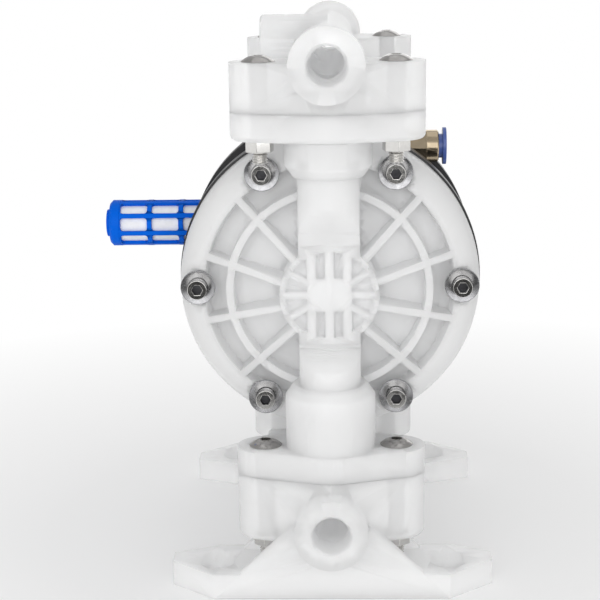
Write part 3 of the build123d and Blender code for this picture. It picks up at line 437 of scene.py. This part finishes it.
def shape_flange_screws(piece):
    """Screws cut off inside their nuts, where the modelled threads take over, with shanks painted near
    black as painted shade inside the flange holes, so that they show as dark bands through the plastic
    """
    nut_bottom, screw_end = screw_ends[piece.name.removesuffix("_finished")]
    shift = nut_bottom + thread_overlap - screw_end
    move_points(piece, lambda spot: spot.z < screw_end + place_slack, (0, 0, shift))
    round_edges(piece, small_rounding, segments=2)
    head_bottom = max(point.co.z for point in piece.data.vertices) - button_height
    give_finish(piece, button_steel, lambda spot: spot.z >= head_bottom - place_slack)
    # Shanks painted near black as the painted shade inside the flange holes
    give_finish(piece, painted_shade_steel, lambda spot: spot.z < head_bottom - place_slack)


def dish_washers(piece):
    """Washers with their fronts sloped in towards the screws"""
    side = 1 if sum(point.co.y for point in piece.data.vertices) > 0 else -1

    def at_hole(spot):
        if abs(spot.y - side * washer_front_reach) > place_slack:
            return False
        return min(from_screws(spot)) < washer_radius - washer_edge

    move_points(piece, at_hole, (0, -side * washer_dish, 0))
    round_edges(piece, turned_rounding)
    give_finish(piece, washer_steel, lambda spot: True)


def widen_disc(piece):
    """Air chamber disc with its rim standing out a little behind the chamber, as a black line"""
    middle = Vector((0, 0, pump_axis_height))

    def at_rim(spot):
        return Vector((spot.x, 0, spot.z - middle.z)).length > chamber_radius - place_slack

    select_points(piece, at_rim)
    stretch = (chamber_radius + disc_stand_out) / chamber_radius
    bpy.ops.transform.resize(value=(stretch, 1, stretch), center_override=middle)
    bpy.ops.object.mode_set(mode="OBJECT")


def raise_split(piece):
    """Chamber or manifold with the split of its lower flange a little higher than in the solids"""

    def at_split(spot):
        return abs(spot.z - lower_joint_height) < merge_distance

    move_points(piece, at_split, (0, 0, split_rise))


shaping = {
    "front_chamber": raise_split,
    "rear_chamber": raise_split,
    "inlet_manifold": raise_split,
    "front_air_disc": widen_disc,
    "rear_air_disc": widen_disc,
    "front_chamber_screws": round_cap_screws,
    "rear_chamber_screws": round_cap_screws,
    "front_chamber_washers": dish_washers,
    "rear_chamber_washers": dish_washers,
    "front_chamber_nuts": round_small,
    "rear_chamber_nuts": round_small,
    "outlet_screws": shape_flange_screws,
    "inlet_screws": shape_flange_screws,
    "outlet_nuts": round_nuts,
    "inlet_nuts": round_nuts,
    "inlet_fitting": round_small,
    "release_collar": round_small,
    "muffler_cap": round_small,
}


def split_diaphragm(whole, node):
    """Cuts a diaphragm into sectors around the pump axis, each a piece of its own, and hides the whole
    one
    """
    centre = Vector((0, 0, pump_axis_height))
    for turn in range(0, 360, sector_angle):
        only_select(whole)
        bpy.ops.object.duplicate()
        piece = bpy.context.active_object
        piece.name = f"{node}_sector_{turn:03d}"
        bpy.ops.object.mode_set(mode="EDIT")
        for side in (-1, 1):
            edge = radians(turn + side * sector_angle / 2)
            outwards = side * Vector((-sin(edge), 0, cos(edge)))
            bpy.ops.mesh.select_all(action="SELECT")
            bpy.ops.mesh.bisect(plane_co=centre, plane_no=outwards, use_fill=True, clear_outer=True)
        bpy.ops.object.mode_set(mode="OBJECT")
        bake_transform(piece)
        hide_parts(node)
    bpy.data.objects.remove(whole)


def smooth_copy(node):
    """Copy of a CAD piece with its triangles joined, so that its curved faces shade smoothly"""
    only_select(nodes[node])
    bpy.ops.object.duplicate()
    piece = bpy.context.active_object
    piece.parent = None
    piece.matrix_world = Matrix.Identity(4)
    piece.name = f"{node}_finished"
    bpy.ops.object.mode_set(mode="EDIT")
    bpy.ops.mesh.select_all(action="SELECT")
    bpy.ops.mesh.remove_doubles(threshold=merge_distance)
    bpy.ops.object.mode_set(mode="OBJECT")
    if node in shaping:
        shaping[node](piece)
    bpy.ops.object.shade_smooth_by_angle(angle=radians(30))
    bpy.ops.object.modifier_add(type="WEIGHTED_NORMAL")
    piece.modifiers[-1].keep_sharp = True
    bpy.ops.object.modifier_apply(modifier=piece.modifiers[-1].name)
    if node in ("front_diaphragm", "rear_diaphragm"):
        split_diaphragm(piece, node)
        return
    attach(piece, body_of_node[node])
    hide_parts(node)


for node in sorted(nodes):
    smooth_copy(node)


def threads(node):
    """Ridged ends of the flange screws below their nuts, all as one piece"""
    nut_bottom, screw_end = screw_ends[node]
    start = nut_bottom + thread_overlap
    ridges = round((start - screw_end) / thread_pitch)
    step = (start - screw_end) / ridges / 2
    rings = []
    for x in (-ear_offset, ear_offset):
        for y in (-column_offset, column_offset):
            for count in range(2 * ridges):
                upper, lower = flange_screw_radius, flange_screw_radius - thread_depth
                if count % 2 == 0:
                    upper, lower = lower, upper
                bpy.ops.mesh.primitive_cone_add(
                    vertices=32,
                    radius1=lower,
                    radius2=upper,
                    depth=step,
                    end_fill_type="NGON" if count in (0, 2 * ridges - 1) else "NOTHING",
                    location=(x, y, start - (count + 0.5) * step),
                )
                rings.append(bpy.context.active_object)
    bpy.ops.object.select_all(action="DESELECT")
    for ring in rings:
        ring.select_set(True)
    bpy.context.view_layer.objects.active = rings[0]
    bpy.ops.object.transform_apply(location=True, rotation=True, scale=True)
    bpy.ops.object.join()
    piece = bpy.context.active_object
    piece.name = f"{node}_threads"
    bpy.ops.object.mode_set(mode="EDIT")
    bpy.ops.mesh.select_mode(type="FACE")
    bpy.ops.mesh.select_all(action="DESELECT")
    bpy.ops.object.mode_set(mode="OBJECT")
    # The end rings were filled at both ends; their inner fillings go
    inner = (start - step, screw_end + step)
    for face in piece.data.polygons:
        level = abs(face.normal.z) > 0.99
        face.select = level and any(abs(face.center.z - height) < merge_distance for height in inner)
    bpy.ops.object.mode_set(mode="EDIT")
    bpy.ops.mesh.delete(type="FACE")
    bpy.ops.mesh.select_all(action="SELECT")
    bpy.ops.mesh.remove_doubles(threshold=merge_distance)
    bpy.ops.mesh.normals_make_consistent(inside=False)
    bpy.ops.object.mode_set(mode="OBJECT")
    bpy.ops.object.shade_smooth_by_angle(angle=radians(30))
    piece.data.materials.append(stainless)
    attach(piece, body_of_node[node])


for node in screw_ends:
    threads(node)


def build_studio():
    """A pale floor that fades to the white of the background, soft lights and a white world"""
    bpy.ops.object.select_all(action="DESELECT")
    bpy.ops.mesh.primitive_plane_add(size=8, location=(0, 0, 0))
    floor = bpy.context.active_object
    floor.name = "studio_floor"
    material, tree, shader = new_material("pale_floor")
    shader.inputs["Base Color"].default_value = (0.9, 0.9, 0.9, 1)
    shader.inputs["Roughness"].default_value = 0.9
    shader.inputs["Specular IOR Level"].default_value = 0.1
    output = node_of_kind(tree, "OUTPUT_MATERIAL")
    glow = add_node(tree, "ShaderNodeEmission", Color=(1, 1, 1, 1), Strength=1.0)
    place = tree.nodes.new("ShaderNodeTexCoord")
    length = add_node(tree, "ShaderNodeVectorMath", operation="LENGTH")
    wire(tree, place.outputs["Object"], length.inputs[0])
    fade = spread(tree, length.outputs["Value"], 0.3, 1, 0.16, 0.5)
    mix = tree.nodes.new("ShaderNodeMixShader")
    wire(tree, fade, mix.inputs["Fac"])
    wire(tree, shader.outputs[0], mix.inputs[1])
    wire(tree, glow.outputs[0], mix.inputs[2])
    wire(tree, mix.outputs[0], output.inputs["Surface"])
    floor.data.materials.append(material)

    world = bpy.data.worlds.new("studio_world")
    bpy.context.scene.world = world
    world.use_nodes = True
    tree = world.node_tree
    tree.nodes.clear()
    output = tree.nodes.new("ShaderNodeOutputWorld")
    soft = add_node(tree, "ShaderNodeBackground", Color=(1, 1, 1, 1), Strength=0.58)
    white = add_node(tree, "ShaderNodeBackground", Color=(1, 1, 1, 1), Strength=1.0)
    seen = tree.nodes.new("ShaderNodeLightPath")
    mix = tree.nodes.new("ShaderNodeMixShader")
    wire(tree, seen.outputs["Is Camera Ray"], mix.inputs["Fac"])
    wire(tree, soft.outputs[0], mix.inputs[1])
    wire(tree, white.outputs[0], mix.inputs[2])
    wire(tree, mix.outputs[0], output.inputs["Surface"])

    for name, place, aim, size, power in (
        ("key_light", (-0.5, -1.6, 0.7), (0, 0, 0.15), 1.2, 7),
        ("fill_light", (0.5, -1.6, 0.5), (0, 0, 0.15), 1.2, 5),
        ("front_light", (-0.15, -1.7, 0.25), (0, 0, 0.15), 1.0, 4.5),
        ("top_light", (0.1, 0.3, 1.6), (0, 0, 0.1), 1.2, 2),
        ("back_light", (0.3, 1.5, 0.8), (0, 0, 0.15), 1.2, 4),
    ):
        bpy.ops.object.light_add(type="AREA", location=place)
        light = bpy.context.active_object
        light.name = name
        light.data.shape = "SQUARE"
        light.data.size = size
        light.data.energy = power
        light.rotation_euler = (Vector(aim) - Vector(place)).to_track_quat("-Z", "Y").to_euler()
        light.visible_glossy = name != "front_light"

    # Dark card on the floor in front, seen only in reflections, so that polished steel has contrast
    bpy.ops.mesh.primitive_plane_add(size=1, location=(0.08, -1.35, 0.001))
    card = bpy.context.active_object
    card.scale = (0.6, 2, 1)
    bpy.ops.object.transform_apply(location=False, rotation=False, scale=True)
    card.name = "reflected_card"
    card.visible_camera = False
    card.visible_diffuse = False
    card.visible_transmission = False
    card.visible_shadow = False
    material, tree, shader = new_material("dark_card")
    shader.inputs["Base Color"].default_value = (0.04, 0.04, 0.04, 1)
    shader.inputs["Specular IOR Level"].default_value = 0.0
    card.data.materials.append(material)


build_studio()
